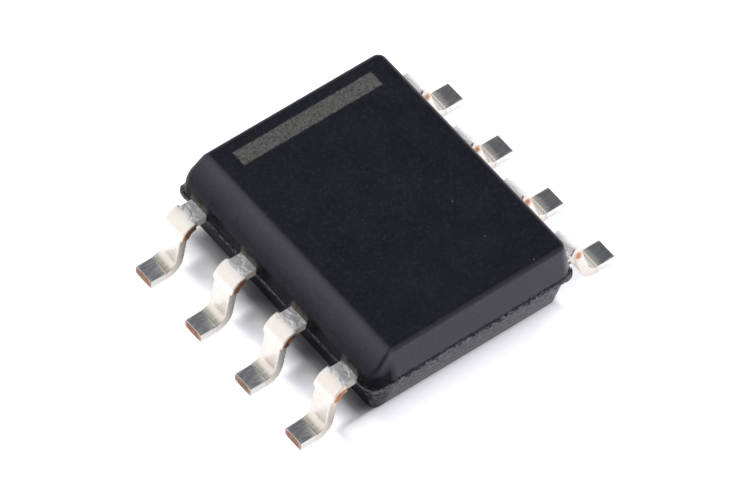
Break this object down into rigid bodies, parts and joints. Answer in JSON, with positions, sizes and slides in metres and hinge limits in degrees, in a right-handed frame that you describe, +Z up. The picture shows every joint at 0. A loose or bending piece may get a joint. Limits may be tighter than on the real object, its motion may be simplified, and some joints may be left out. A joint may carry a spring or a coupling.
{
  "type": "soic chip",
  "caption": "Small-outline surface-mount chip: a bevelled, drafted moulded body with gull-wing leads along both long sides, around a die on its pad and bond wires.",
  "frame": {"origin": "centre of the seating plane, under the soles of the feet", "axes": "+X along the rows of leads, away from the end with the marked bar; +Y across the rows, away from the bevelled long edge; +Z up out of the board"},
  "size_m": [0.005, 0.006, 0.0016],
  "materials": {
    "mould_compound": "fine satin mould texture, black with a faint blue cast",
    "plated_leads": "pale, slightly warm plating with a satin sheen, bare copper at the cut ends",
    "copper": "bare rolled copper alloy",
    "die_glue": "silver-filled epoxy, matt",
    "silicon": "polished silicon",
    "bond_wire": "bright gold wire"
  },
  "bodies": {
    "root": {"package_body": "mould_compound", "die_pad": "copper", "die_glue": "die_glue", "die": "silicon", "lead_1": "plated_leads", "lead_2": "plated_leads", "lead_3": "plated_leads", "lead_4": "plated_leads", "lead_5": "plated_leads", "lead_6": "plated_leads", "lead_7": "plated_leads", "lead_8": "plated_leads", "bond_wire_1": "bond_wire", "bond_wire_2": "bond_wire", "bond_wire_3": "bond_wire", "bond_wire_4": "bond_wire", "bond_wire_5": "bond_wire", "bond_wire_6": "bond_wire", "bond_wire_7": "bond_wire", "bond_wire_8": "bond_wire"}
  },
  "joints": []
}
